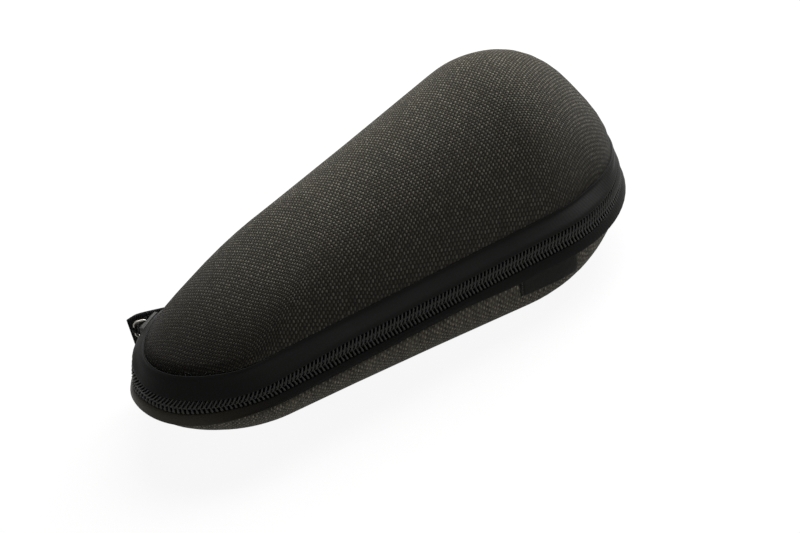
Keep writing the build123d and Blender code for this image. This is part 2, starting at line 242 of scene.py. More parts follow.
def pear_arcs(inset=0.0, wide_scale=1.0, narrow_scale=1.0, wide_move=0.0, narrow_move=0.0):
    """The six arcs, anticlockwise from the far handle shoulder: centre, radius, directions."""
    tip_w, tip_offset_w, shoulder_w, drop_w = oval(WIDE_HALF)
    tip_n, tip_offset_n, shoulder_n, drop_n = oval(NARROW_HALF)
    wide, narrow = WIDE_X + wide_move, NARROW_X + narrow_move
    drop_w, drop_n = drop_w * wide_scale, drop_n * narrow_scale
    radius_w, radius_n = (shoulder_w - inset) * wide_scale, (shoulder_n - inset) * narrow_scale
    tip_radius_w, tip_radius_n = (tip_w - inset) * wide_scale, (tip_n - inset) * narrow_scale
    run, rise = wide - narrow, drop_n - drop_w
    flank = degrees(atan2(rise, run) + acos((radius_n - radius_w) / hypot(run, rise)))
    turn = 180 - JOIN_ANGLE
    tip_x = wide + tip_offset_w * wide_scale
    return [
        ((narrow, -drop_n), radius_n, flank, turn),
        ((narrow - tip_offset_n * narrow_scale, 0), tip_radius_n, turn, 360 - turn),
        ((narrow, drop_n), radius_n, 360 - turn, 360 - flank),
        ((wide, drop_w), radius_w, 360 - flank, 360 - JOIN_ANGLE),
        ((tip_x, 0), tip_radius_w, 360 - JOIN_ANGLE, 360 + JOIN_ANGLE),
        ((wide, -drop_w), radius_w, 360 + JOIN_ANGLE, 360 + flank),
    ]


def on_arc(arc, bearing, inset=0.0, height=0.0):
    """A point of an arc whose outward normal has this bearing, in metres."""
    (x, y), radius = arc[0], arc[1] - inset
    turn = radians(bearing)
    return Vector((x + radius * cos(turn), y + radius * sin(turn), SPLIT_HEIGHT + height)) * MM


print("zip line:", [round(arc[1], 1) for arc in pear_arcs()], "mm radii")

# %% [markdown]
# ## Drawing along the outline
# The outline's pieces could be curves with a bevel, but those twist and don't say how
# long they are. A spin with an angle turns geometry round an arc, and a spin with no
# angle moves it along a flank. Taken a step at a time, it also tells how far each point
# has travelled, which later gives a strip its map in metres.

# %% Tracing, and finishing a mesh
STEP_ANGLE, FLANK_STEPS = 4.5, 30


def trace(bm, geometry, arcs, closed=False, run=None):
    """Draws geometry along the outline, turned round each arc and moved along each flank."""
    travelled = 0.0
    for number, arc in enumerate(arcs):
        (x, y), radius, start, end = arc
        steps = max(2, round((end - start) / STEP_ANGLE))
        angle = radians(end - start) / steps
        moves = [{"cent": (x * MM, y * MM, 0), "angle": angle, "dvec": (0, 0, 0)}] * steps
        reach = [radius * MM * radians(end - start) / steps] * steps
        if closed or number < len(arcs) - 1:
            following = arcs[(number + 1) % len(arcs)]
            flank = on_arc(following, following[2]) - on_arc(arc, end)
            if flank.length > MM:
                step = flank / FLANK_STEPS
                moves += [{"cent": (0, 0, 0), "angle": 0, "dvec": step}] * FLANK_STEPS
                reach += [step.length] * FLANK_STEPS
        for move, length in zip(moves, reach):
            made = bmesh.ops.spin(bm, geom=geometry, axis=(0, 0, 1), steps=1, **move)
            geometry = made["geom_last"]
            travelled += length
            for piece in geometry:
                if run and isinstance(piece, bmesh.types.BMVert):
                    piece[run] = travelled


def surface(bm):
    """The area of a bmesh, in square metres."""
    return sum(face.calc_area() for face in bm.faces)


def finish_mesh(bm, name, material, body=None):
    """Turns a bmesh into a smooth object at the origin that rides on a body."""
    mesh = bpy.data.meshes.new(name)
    bm.to_mesh(mesh)
    bm.free()
    made = bpy.data.objects.new(name, mesh)
    mesh.materials.append(material)
    mesh.shade_smooth()
    scene.collection.objects.link(made)
    if body:
        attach(made, body)
    return made


def thicken(piece, thickness, offset=-1):
    """Gives a sheet its thickness in millimetres: inwards at -1, to both sides at 0."""
    wall = piece.modifiers.new("thickness", "SOLIDIFY")
    wall.thickness = thickness * MM
    wall.offset = offset
    return piece


print("steps of", STEP_ANGLE, "degrees round the arcs,", FLANK_STEPS, "along a flank")

# %% [markdown]
# ## What the press does
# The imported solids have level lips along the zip. On the real case the press bulges the
# dome's foot over the zip at both ends, closes the lips at the tip and leans them. Each
# piece could be sculpted, but the cloth, bands, tapes and coil all have to move alike.
# So a rule of place moves the points of any piece that it is given.

# %% The bulge at the dome's foot
SWELL_RISE, SWELL_FALL = (4, 7.5), (8, 34)  # heights above the zip where it comes and goes
# Middle of each end, the way it looks, its bulge in mm, and how far round that reaches.
SWELLS = (WIDE_X, 1, 3.6, 0.26, 0.96), (NARROW_X, -1, 0.7, -0.1, 0.6)


def smooth_step(value, low, high):
    """0 below low, 1 above high and an even rise between."""
    share = min(max((value - low) / (high - low), 0), 1)
    return share * share * (3 - 2 * share)


def swell(bm):
    """Pushes the dome's foot outwards at both ends."""
    for vertex in bm.verts:
        height = vertex.co.z / MM - SPLIT_HEIGHT
        share = smooth_step(height, *SWELL_RISE) * (1 - smooth_step(height, *SWELL_FALL))
        for middle, side, amount, low, high in SWELLS:
            away = (vertex.co.xy - Vector((middle * MM, 0))).normalized()
            reach = smooth_step(side * away.x, low, high)
            vertex.co.xy += away * amount * share * reach * MM


print("bulge:", [amount for _, _, amount, _, _ in SWELLS], "mm at head and handle")

# %% How the zip's lips settle
NEAR_SIDE = 4, 17  # Y where the slack starts to go, and where the hinge's side has none
FLANK_X, HEAD_X = (-90, -35), (0, 95)  # X where the tip becomes flank, and flank head
TOP_LIFTS = -1.9, 0.1, 0.3  # lift of the upper lip at the tip, the flank and the head
FOOT_LIFTS = (1.5, 2.9), 0.6, 0.1  # the same of the lower lip; the tip's near and far side
TIP_SIDES = -16, 2  # Y of the tip's near and far side
TOP_FADE, FOOT_FADE, LEAN_FADE = (3.5, 7.5), (4.2, 9), (4, 7.3)  # where each dies out
LIFT_TURN, LEAN_TURN = (-4.2, 3), (-3.5, 3)  # heights where the lower lip gives way
# Middle of each end, the way it looks, and how far its upper and its lower lip lean out.
LEANS = (WIDE_X, 1, -0.5, 0.6), (NARROW_X, -1, -0.8, 1.1)
LEAN_REACH = 0.55, 0.98


def mix(low, high, share):
    """A value part of the way from low to high."""
    return low + (high - low) * share


def place_of(vertex):
    """A vertex's X and Y and its height above the zip, in millimetres."""
    return vertex.co.x / MM, vertex.co.y / MM, vertex.co.z / MM - SPLIT_HEIGHT


def settle_zip(bm):
    """Sets the zip's two lips: close together at the tip, leaning at both ends."""
    for vertex in bm.verts:
        x, y, height = place_of(vertex)
        near, fade = 1 - smooth_step(y, *NEAR_SIDE), 1 - smooth_step(height, *TOP_FADE)
        flank, head = smooth_step(x, *FLANK_X), smooth_step(x, *HEAD_X)
        top = mix(mix(TOP_LIFTS[0], TOP_LIFTS[1], flank), TOP_LIFTS[2], head)
        tip = mix(*FOOT_LIFTS[0], smooth_step(y, *TIP_SIDES))
        foot = mix(mix(tip, FOOT_LIFTS[1], flank), FOOT_LIFTS[2], head)
        foot *= 1 - smooth_step(-height, *FOOT_FADE)
        lift = mix(foot, top, smooth_step(height, *LIFT_TURN))
        vertex.co.z += lift * near * fade * MM
        rise, drop = smooth_step(height, *LEAN_TURN), smooth_step(-height, *LEAN_FADE)
        for middle, side, upper, lower in LEANS:
            away = (vertex.co.xy - Vector((middle * MM, 0))).normalized()
            lean = mix(mix(lower, upper * fade, rise), 0, drop)
            vertex.co.xy += away * lean * near * smooth_step(side * away.x, *LEAN_REACH) * MM


print("lips close by", FOOT_LIFTS[0][1] - TOP_LIFTS[0], "mm at the tip's far side")

# %% [markdown]
# ## Melange cloth
# The skin is a plain weave of light melange yarn over dark yarn, so it shows a
# chequerboard of pale dots. A checker texture gives flat squares with no thread in
# them. Two waves multiplied give a dot wherever the light yarn lies on top, at the real
# spacing of the threads. Melange yarn is spun from fibres of several colours, so each
# float gets its own shade. Low on the walls, at the tip and at the head end the colour
# is mixed towards near black: painted shade.

# %% The melange cloth's material
WARP_PITCH, WEFT_PITCH = 0.767 * MM, 0.921 * MM
THREAD_WANDER, CLOTH_RELIEF = 0.55 * MM, 0.14 * MM
WANDER_SCALE, PATCH_SCALE = 0.6 / MM, 0.07 / MM  # a thread strays every 1.7 mm, shade every 14
# Where shade is painted on the dome: axis, two places in metres, and how much of the cloth's own
# colour is left at each.
PAINTED_SHADE_ZONES = (
    ("Z", 0.034, 0.058, 0.5, 1.0),
    ("X", -0.090, -0.055, 0.4, 1.0),
    ("X", 0.055, 0.090, 1.0, 0.62),
)


def melange_cloth(name, light="7a766a", shade="2a2823", painted_shade=False):
    """Plain-woven melange polyester, read from the piece's own cloth map in metres."""
    material, tree, shader = new_material(name)
    cloth = add(tree, "ShaderNodeUVMap", uv_map="cloth")
    wander = add(tree, "ShaderNodeTexNoise", {
        "Vector": cloth, "Scale": WANDER_SCALE, "Detail": 1.0,
    })
    moved = add(tree, "ShaderNodeVectorMath", {
        0: wander.outputs["Color"], 1: (THREAD_WANDER,) * 3, 2: cloth,
    }, operation="MULTIPLY_ADD")
    along = add(tree, "ShaderNodeSeparateXYZ", {0: moved}).outputs
    waves, threads = [], []
    for axis, pitch in (("X", WARP_PITCH), ("Y", WEFT_PITCH)):
        count = add(tree, "ShaderNodeMath", {0: along[axis], 1: pitch}, operation="DIVIDE")
        turn = add(tree, "ShaderNodeMath", {0: count, 1: pi}, operation="MULTIPLY")
        waves.append(add(tree, "ShaderNodeMath", {0: turn}, operation="COSINE"))
        threads.append(add(tree, "ShaderNodeMath", {0: count}, operation="ROUND"))
    over = add(tree, "ShaderNodeMath", {0: waves[0], 1: waves[1]}, operation="MULTIPLY")

    # One random number for each float, and one for each thread.
    cell = add(tree, "ShaderNodeCombineXYZ", {0: threads[0], 1: threads[1]})
    fleck = add(tree, "ShaderNodeTexWhiteNoise", {"Vector": cell}, noise_dimensions="3D")
    thread = add(tree, "ShaderNodeTexWhiteNoise", {"W": threads[0]}, noise_dimensions="1D")
    patches = add(tree, "ShaderNodeTexNoise", {
        "Vector": cloth, "Scale": PATCH_SCALE, "Detail": 3.0,
    })

    yarn = add(tree, "ShaderNodeValToRGB", {0: fleck})
    stops = yarn.color_ramp.elements
    stops[0].color, stops[1].color = linear("444138"), linear(light)
    stops[0].position, stops[1].position = 0.05, 0.95
    stops.new(0.45).color = linear("5b584d")
    tint = add(tree, "ShaderNodeMix", {
        0: patches, 6: linear("574e42"), 7: linear("5a5f54"),
    }, data_type="RGBA").outputs[2]
    light_yarn = add(tree, "ShaderNodeMix", {
        0: 0.35, 6: yarn, 7: tint,
    }, data_type="RGBA").outputs[2]
    dark_yarn = add(tree, "ShaderNodeMix", {
        0: thread, 6: linear(shade), 7: linear("2e2b27"),
    }, data_type="RGBA").outputs[2]
    facing = add(tree, "ShaderNodeMapRange", {
        "Value": over, "From Min": 0.02, "From Max": 0.62,
    }, interpolation_type="SMOOTHSTEP")
    colour = add(tree, "ShaderNodeMix", {
        0: facing, 6: dark_yarn, 7: light_yarn,
    }, data_type="RGBA").outputs[2]
    # Painted shade: low on the walls, at the tip and at the head end the colour is mixed towards
    # near black.
    if painted_shade:
        place = add(tree, "ShaderNodeTexCoord").outputs["Object"]
        place = add(tree, "ShaderNodeSeparateXYZ", {0: place}).outputs
        left = 1.0
        for axis, start, end, at_start, at_end in PAINTED_SHADE_ZONES:
            zone = add(tree, "ShaderNodeMapRange", {
                "Value": place[axis], "From Min": start, "From Max": end,
                "To Min": at_start, "To Max": at_end,
            })
            left = add(tree, "ShaderNodeMath", {0: left, 1: zone}, operation="MULTIPLY")
        colour = add(tree, "ShaderNodeMix", {
            0: left, 6: linear("131210"), 7: colour,
        }, data_type="RGBA").outputs[2]

    # Matt spun yarn: each float is a soft round crown with no shine of its own.
    crown = add(tree, "ShaderNodeMath", {0: over}, operation="ABSOLUTE")
    crown = add(tree, "ShaderNodeMath", {0: crown, 1: 0.6}, operation="POWER")
    bump = add(tree, "ShaderNodeBump", {
        "Height": crown, "Distance": CLOTH_RELIEF, "Strength": 1.0,
    })
    connect(tree, shader, {
        "Base Color": colour, "Normal": bump, "Roughness": 0.86,
        "Specular IOR Level": 0.05, "Sheen Weight": 0.04, "Sheen Roughness": 0.5,
    })
    return material


# The dome's cloth carries that painted shade.
dome_cloth = melange_cloth("plain_weave_melange_polyester_painted_shade", painted_shade=True)
# The lower shell's cloth has no painted shade and is given paler, more even colours.
# Their paleness is painted light, for the light the white table bounces up onto it.
tub_cloth = melange_cloth("plain_weave_melange_polyester", light="757165", shade="45413a")
print("cloth:", round(WARP_PITCH / MM, 2), "by", round(WEFT_PITCH / MM, 2), "mm threads")

# %% [markdown]
# ## Moulded skins
# A skin is flat cloth pressed over a shell. It could be a subdivided cage, but then its
# wall wouldn't lie exactly on the foam. The shell's level lines are pears that shrink
# towards the crown, so each is traced from one vertex, laid in its own plane and
# bridged to the last. The crown slopes down to the handle, so the planes tilt.

# %% The dome's level lines
UPPER_RIM, UPPER_INSET = 7.7, 5.6
CROWN_WIDE, CROWN_NARROW = 44.9, 29.4
CROWN_WIDE_MOVE, CROWN_NARROW_MOVE = -7.8, 40
DOME_ANGLES = [6 * step for step in range(15)] + [87]


def dome_level(angle, layer):
    """One level line of the dome: its arcs and the matrix of its plane."""
    fullness, scale = sin(radians(angle)), cos(radians(angle))
    arcs = pear_arcs(
        UPPER_INSET + layer, scale, scale,
        CROWN_WIDE_MOVE * fullness, CROWN_NARROW_MOVE * fullness,
    )
    height = fullness * (CROWN_WIDE - layer) / CROWN_WIDE
    wide, narrow = WIDE_X + CROWN_WIDE_MOVE * height, NARROW_X + CROWN_NARROW_MOVE * height
    slope = height * (CROWN_WIDE - CROWN_NARROW) / (wide - narrow)
    lift = SPLIT_HEIGHT + UPPER_RIM + height * CROWN_WIDE - slope * wide
    tilt = Matrix.Rotation(-atan(slope), 4, "Y")
    return arcs, Matrix.Translation((0, 0, lift * MM)) @ tilt


print("dome:", len(DOME_ANGLES), "level lines")

# %% The lower shell's level lines
LOWER_RIM, LOWER_INSET = -5.7, -1.35
BASE_FULLNESS, BASE_WIDE_MOVE, BASE_NARROW_MOVE = 0.985, -16.4, 9.2
LOWER_DEPTH = (SPLIT_HEIGHT + LOWER_RIM) / BASE_FULLNESS
TUB_SHARES = (
    0, 0.1, 0.2, 0.3, 0.4, 0.5, 0.6, 0.68, 0.75, 0.81, 0.86, 0.9, 0.93, 0.96, 0.98, 1,
)


def tub_level(share, layer):
    """One level line of the lower shell: its arcs and the matrix of its plane."""
    fullness = share * BASE_FULLNESS
    arcs = pear_arcs(
        LOWER_INSET + layer, (1 - fullness ** 4) ** 0.25, sqrt(1 - fullness ** 2),
        BASE_WIDE_MOVE * fullness, BASE_NARROW_MOVE * fullness,
    )
    depth = (LOWER_DEPTH - layer) * BASE_FULLNESS * share
    return arcs, Matrix.Translation((0, 0, (SPLIT_HEIGHT + LOWER_RIM - depth) * MM))


print("lower shell:", len(TUB_SHARES), "level lines,", round(LOWER_DEPTH, 1), "mm deep")


# %% A shell from its level lines
def shell(levels):
    """A bmesh of a shell from its level lines, the last one filled."""
    bm = bmesh.new()
    before = []
    for arcs, matrix in levels:
        first = bm.verts.new(on_arc(arcs[0], arcs[0][2], height=-SPLIT_HEIGHT))
        old = set(bm.verts) - {first}
        trace(bm, [first], arcs, closed=True)
        ring = [vertex for vertex in bm.verts if vertex not in old]
        bmesh.ops.remove_doubles(bm, verts=ring, dist=0.01 * MM)
        ring = [vertex for vertex in bm.verts if vertex not in old]
        bmesh.ops.transform(bm, matrix=matrix, verts=ring)
        edges = list({edge for vertex in ring for edge in vertex.link_edges})
        if before:
            bmesh.ops.bridge_loops(bm, edges=before + edges)
        before = edges
    bmesh.ops.contextual_create(bm, geom=before)
    bmesh.ops.recalc_face_normals(bm, faces=bm.faces)
    return bm


print("a shell joins", len(DOME_ANGLES), "lines with", len(DOME_ANGLES) - 1, "bridges")

# %% [markdown]
# ## The cloth's own map
# A weave follows the cloth, not the air round it, so it can't be read from Object
# coordinates on the steep walls. Unwrapping would leave seams. This map says where each
# point lay in the flat cloth: straight below the crown, and moved out by half its drop
# on the walls, because the press draws the cloth down. It moves out less at the two
# ends, where the cloth gathers.

# %% Mapping the cloth
CLOTH_TURN = radians(23)  # the threads' turn from the case's length
DRAWN_SHARE = 0.5
TIP_GATHER, HEAD_GATHER, END_TURN = 0.7, 0.4, (0.3, 0.95)


def map_cloth(bm, rise, low, high):
    """Writes where each point lay in the flat cloth, in metres."""
    layer = bm.loops.layers.uv.new("cloth")
    turn = Matrix.Rotation(CLOTH_TURN, 2)
    bm.normal_update()
    for face in bm.faces:
        for loop in face.loops:
            place, out = loop.vert.co, loop.vert.normal.xy
            drop = abs(rise(min(max(place.x, low), high)) - place.z) * DRAWN_SHARE
            if out.length > 0.01:
                out.normalize()
                tip, head = smooth_step(-out.x, *END_TURN), smooth_step(out.x, *END_TURN)
                drop *= 1 - TIP_GATHER * tip - HEAD_GATHER * head
            loop[layer].uv = turn @ (place.xy + out * drop)


def crest(x):
    """Height of the dome's ridge at a place along the case, in metres."""
    wide, narrow = WIDE_X + CROWN_WIDE_MOVE, NARROW_X + CROWN_NARROW_MOVE
    share = (x / MM - narrow) / (wide - narrow)
    rise = CROWN_NARROW + share * (CROWN_WIDE - CROWN_NARROW)
    return (SPLIT_HEIGHT + UPPER_RIM + rise) * MM


# The line that the cloth is first laid on, and where that line ends.
RIDGE = crest, (NARROW_X + CROWN_NARROW_MOVE) * MM, (WIDE_X + CROWN_WIDE_MOVE) * MM
FOOT = (lambda x: 0.0), -1, 1
print("ridge:", [round(crest(x) / MM, 1) for x in RIDGE[1:]], "mm high at its ends")

# %% The dome's skin
SKIN, CORE, LINING = 0.8, 4.0, 0.7
SKIN_THICKNESS = SKIN * 0.9  # a little under its solid's, so that it stays off the foam

bm = shell([dome_level(angle, 0) for angle in DOME_ANGLES])
map_cloth(bm, *RIDGE)
swell(bm)
area = surface(bm)
dome_skin = finish_mesh(bm, "dome_skin", dome_cloth, "lid")
thicken(dome_skin, SKIN_THICKNESS)
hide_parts("upper_skin")
print("dome skin:", round(area * 1e4), "cm2,", len(dome_skin.data.polygons), "faces")

# %% The lower shell's skin
bm = shell([tub_level(share, 0) for share in TUB_SHARES])
map_cloth(bm, *FOOT)
settle_zip(bm)
area = surface(bm)
tub_skin = finish_mesh(bm, "tub_skin", tub_cloth, "base")
thicken(tub_skin, SKIN_THICKNESS)
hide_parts("lower_skin")
print("lower skin:", round(area * 1e4), "cm2,", len(tub_skin.data.polygons), "faces")

# %% [markdown]
# ## Coated tape
# Each shell's rim is bound with black tape, pressed with a thin coat of polyurethane.
# A flat black would look like paint. The coat has a fine grain, cloudy gloss and faint
# ribs across the tape, which the press leaves clearest round the wide end. Below the
# zip, round the tip, the tape is painted paler: painted light, for the light that the
# white table sends up onto it.

# %% The coated tape's material
COAT_RIB, COAT_RELIEF = 1.3 * MM, 0.05 * MM
RIB_STRAY, COAT_GRAIN, CLOUDS = 0.25 / MM, 2.2 / MM, 0.06 / MM  # every 4, 0.45 and 17 mm
RIBBED_X = 0.035, 0.08
# Where the tape is painted paler as painted light: axis and two places in metres.
PAINTED_LIGHT_ZONES = ("X", -0.095, -0.068), ("Z", 0.0225, 0.0255)

band_coat, tree, shader = new_material("pressed_pu_coated_tape")
strip = add(tree, "ShaderNodeUVMap", uv_map="strip")
along = add(tree, "ShaderNodeSeparateXYZ", {0: strip}).outputs["X"]
solid = add(tree, "ShaderNodeTexCoord").outputs["Object"]
parts = add(tree, "ShaderNodeSeparateXYZ", {0: solid}).outputs
uneven, grain, cloudy = (
    add(tree, "ShaderNodeTexNoise", {"Vector": solid, "Scale": scale, "Detail": detail})
    for scale, detail in ((RIB_STRAY, 1.0), (COAT_GRAIN, 2.0), (CLOUDS, 2.0))
)
uneven = add(tree, "ShaderNodeMath", {0: uneven, 1: 6.0}, operation="MULTIPLY")
ribs = add(tree, "ShaderNodeMath", {
    0: along, 1: 2 * pi / COAT_RIB, 2: uneven,
}, operation="MULTIPLY_ADD")
ribs = add(tree, "ShaderNodeMath", {0: ribs}, operation="SINE")
wide_end = add(tree, "ShaderNodeMapRange", {
    "Value": parts["X"], "From Min": RIBBED_X[0], "From Max": RIBBED_X[1],
    "To Min": 0.1, "To Max": 0.6,
})
height = add(tree, "ShaderNodeMath", {0: ribs, 1: wide_end, 2: grain}, operation="MULTIPLY_ADD")
bump = add(tree, "ShaderNodeBump", {
    "Height": height, "Distance": COAT_RELIEF, "Strength": 0.6,
})
# Painted light: below the zip, round the tip, the colour is mixed from black towards a paler grey.
painted_light = 1.0
for axis, start, end in PAINTED_LIGHT_ZONES:
    zone = add(tree, "ShaderNodeMapRange", {
        "Value": parts[axis], "From Min": start, "From Max": end, "To Min": 1.0, "To Max": 0.0,
    })
    painted_light = add(tree, "ShaderNodeMath", {0: painted_light, 1: zone}, operation="MULTIPLY")
colour = add(tree, "ShaderNodeMix", {
    0: painted_light, 6: linear("0f100e"), 7: linear("322f29"),
}, data_type="RGBA").outputs[2]
rough = add(tree, "ShaderNodeMath", {0: cloudy, 1: 0.2, 2: 0.45}, operation="MULTIPLY_ADD")
connect(tree, shader, {
    "Base Color": colour, "Normal": bump, "Roughness": rough, "Specular IOR Level": 0.06,
})
print("coated tape: a rib every", round(COAT_RIB / MM, 2), "mm")

# %% [markdown]
# ## Strips along the zip
# A band, the hinge and the tapes are all strips along the outline. Each could be a grid
# bent by a curve modifier, but that would stretch it on the arcs. Here a strip's
# profile is a smooth line through a few (inset, height) points, and it is drawn along
# the outline, with a map in metres along and across it.

# %% Strips
ZIP_ENDS, UPPER_ZIP_START = (99.5, 438), 128


def zip_arcs(start=ZIP_ENDS[0], end=ZIP_ENDS[1]):
    """The arcs along the zip, from the far handle shoulder round the near side."""
    arcs = pear_arcs()
    arcs[0] = (*arcs[0][:2], start, arcs[0][3])
    arcs[-1] = (*arcs[-1][:3], end)
    return arcs


def curved(points, steps=4):
    """A smooth line through some (inset, height) points."""
    ends = [points[0], *points, points[-1]]
    line = []
    for group in zip(ends, ends[1:], ends[2:], ends[3:]):
        for t in (step / steps for step in range(steps)):
            line.append(tuple(
                q + (r - p) * t / 2 + (2 * p - 5 * q + 4 * r - s) * t ** 2 / 2
                + (3 * q - p - 3 * r + s) * t ** 3 / 2
                for p, q, r, s in zip(*group)
            ))
    return [*line, points[-1]]


def map_strip(bm, where):
    """Writes each point's place along and across a strip, in metres."""
    strip = bm.loops.layers.uv.new("strip")
    for face in bm.faces:
        for loop in face.loops:
            loop[strip].uv = where(loop.vert)


def sweep(profile, arcs, closed=False):
    """A strip with a profile of (inset, height) points in mm, and its length in metres."""
    bm = bmesh.new()
    run, across = bm.verts.layers.float.new("run"), bm.verts.layers.float.new("across")
    line = [bm.verts.new(on_arc(arcs[0], arcs[0][2], *point)) for point in profile]
    for before, after in zip(line, line[1:]):
        after[across] = before[across] + (after.co - before.co).length
    edges = [bm.edges.new(pair) for pair in zip(line, line[1:])]
    trace(bm, [*line, *edges], arcs, closed, run)
    # A spin adds its faces in no fixed order, so they are put in order along the strip.
    for items in (bm.edges, bm.faces):
        items.sort(key=lambda item: sum(vertex[run] / MM + vertex[across] for vertex in item.verts))
    map_strip(bm, lambda vertex: (vertex[run], vertex[across]))
    bmesh.ops.remove_doubles(bm, verts=bm.verts, dist=0.005 * MM)
    return bm, max(vertex[run] for vertex in bm.verts)


def turn_outwards(bm):
    """Makes all the faces of a strip look away from the case's middle."""
    bmesh.ops.recalc_face_normals(bm, faces=bm.faces)
    middle = Vector((0, 0, SPLIT_HEIGHT * MM))
    if sum(
        (face.calc_center_median() - middle).dot(face.normal) * face.calc_area()
        for face in bm.faces
    ) < 0:
        bmesh.ops.reverse_faces(bm, faces=bm.faces)


print("zip:", len(zip_arcs()), "arcs from", ZIP_ENDS[0], "to", ZIP_ENDS[1], "degrees")

# %% [markdown]
# ## Bands over the zip's seams
# The tape is pressed into shape with its shell. Its upper edge stands up as a thin rim
# on the cloth and its lower edge rolls over the zip, and below the zip the near flank's
# tape is cut narrower. A flat strip would lose those edges, so the profiles have them.

# %% The bands
BAND_THICKNESS = 0.6
FOOT_RAISE, FOOT_EDGE = 1.6, (4.2, 7)  # its lift in mm, and the depths where it grows
NARROW_START, NARROW_END = (-96, -76), (0, 24)  # X where the narrow cut starts and ends
UPPER_BAND = curved([
    (6.0, 7.5), (5.6, 7.95), (5.25, 7.75), (4.9, 7.1), (3.1, 5.95), (1.2, 4.65), (0.5, 4.0),
    (0.18, 3.5), (0.3, 3.1), (1.0, 3.05), (2.3, 3.2),
])
LOWER_BAND = curved([
    (2.3, -4.1), (0.8, -4.15), (0.15, -4.1), (-0.25, -4.2), (-0.65, -4.6), (-1.45, -5.6),
    (-2.0, -6.6), (-2.05, -7.1), (-1.5, -7.3),
])


def lift_foot(bm):
    """Lifts what lies deep below the zip, for the narrow cut along the near flank."""
    for vertex in bm.verts:
        x, y, height = place_of(vertex)
        flank = smooth_step(x, *NARROW_START) * (1 - smooth_step(x, *NARROW_END))
        flank *= 1 - smooth_step(y, *NEAR_SIDE)
        vertex.co.z += FOOT_RAISE * flank * smooth_step(-height, *FOOT_EDGE) * MM


for name, profile, body, node, rests in (
    ("upper_band", UPPER_BAND, "lid", "upper_trim", "upper_core"),
    ("lower_band", LOWER_BAND, "base", "lower_trim", "lower_skin"),
):
    bm, length = sweep(profile, zip_arcs())
    swell(bm)
    settle_zip(bm)
    lift_foot(bm)
    turn_outwards(bm)
    area = surface(bm)
    band = thicken(finish_mesh(bm, name, band_coat, body), BAND_THICKNESS)
    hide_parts(node)
    print(name, round(length / MM), "mm long,", round(area / length / MM, 1), "mm wide")

# %% [markdown]
# ## Ribbed cloth
# The hinge, tapes, bindings, ribbon and label are all narrow woven cloth with close
# ribs. A wave texture would do for the ribs alone. Here a sine for the ribs and a finer
# one for the threads across them share one height, which sets both the relief and the
# shade in the grooves.

# %% The ribbed cloth's material
THREAD_PITCH = 0.35 * MM  # a real one is about 0.2 mm, which is too fine to show


def ribbed_cloth(name, colour, rib=0.9 * MM, relief=0.12 * MM, across=False):
    """Grosgrain: close ribs, each a packed bundle of weft, over fine warp."""
    material, tree, shader = new_material(name)
    strip = add(tree, "ShaderNodeUVMap", uv_map="strip")
    parts = add(tree, "ShaderNodeSeparateXYZ", {0: strip}).outputs
    ribs, threads = (
        add(tree, "ShaderNodeMath", {
            0: add(tree, "ShaderNodeMath", {
                0: parts[axis], 1: 2 * pi / pitch,
            }, operation="MULTIPLY"),
        }, operation="SINE")
        for axis, pitch in zip("YX" if across else "XY", (rib, THREAD_PITCH))
    )
    height = add(tree, "ShaderNodeMath", {0: threads, 1: 0.3, 2: ribs}, operation="MULTIPLY_ADD")
    lit = add(tree, "ShaderNodeMapRange", {
        "Value": height, "From Min": -1.3, "From Max": 1.3, "To Min": 0.45,
    })
    # Painted shade: the colour darkens towards near black in the grooves between the ribs.
    dye_and_groove_shade = add(tree, "ShaderNodeMix", {
        0: lit, 6: linear("050505"), 7: linear(colour),
    }, data_type="RGBA").outputs[2]
    bump = add(tree, "ShaderNodeBump", {"Height": height, "Distance": relief, "Strength": 0.8})
    connect(tree, shader, {
        "Base Color": dye_and_groove_shade, "Normal": bump, "Roughness": 0.8,
        "Specular IOR Level": 0.08, "Sheen Weight": 0.04,
    })
    return material


hinge_cloth = ribbed_cloth("black_polyester_grosgrain", "1c1c1a")
print("ribbed cloth:", hinge_cloth.name)

# %% [markdown]
# ## Cloth hinge
# Along the far side one strip of black cloth joins the shells. Two strips that meet
# would gape as the lid opens, so here it is one strip, drawn along the hinge side with
# its profile and left unattached to either body.

# %% The cloth hinge
GUSSET_ENDS = 78.5, 99
HINGE = curved([
    (6.0, 7.5), (5.6, 7.95), (5.2, 7.7), (4.5, 6.9), (2.2, 5.2), (0.5, 3.9), (-0.3, 2.4),
    (-0.75, 0.7), (-1.05, -1.5), (-1.3, -3.6), (-1.5, -5.5), (-1.65, -6.4), (-1.6, -6.8),
    (-1.25, -6.95),
])


def hinge_arcs():
    """The arcs along the hinge, from the far head shoulder to the far handle shoulder."""
    arcs = pear_arcs()
    head = (*arcs[-1][:2], GUSSET_ENDS[0], arcs[-1][3] - 360)
    return [head, (*arcs[0][:3], GUSSET_ENDS[1])]


bm, length = sweep(HINGE, hinge_arcs())
turn_outwards(bm)
area = surface(bm)
hinge = thicken(finish_mesh(bm, "hinge_strip", hinge_cloth), BAND_THICKNESS)
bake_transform(hinge)
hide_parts("hinge_gusset")

# %% [markdown]
# ## Zip tapes
# Each row of coil is sewn to the edge of a woven tape. The sewn edge wraps the coil's
# back and its filler cord, so the tape bulges there and then runs up under the band.
# Little of it shows, but without it the foam would show between the coil's turns. Both
# tapes are one profile, which is turned over for the lower one.

# %% The zip tapes
TAPE = (2.75, 4.4), (2.2, 3.7), (1.6, 2.9), (1.45, 1.6), (2.0, 0.7)
TAPE_THICKNESS = 0.45

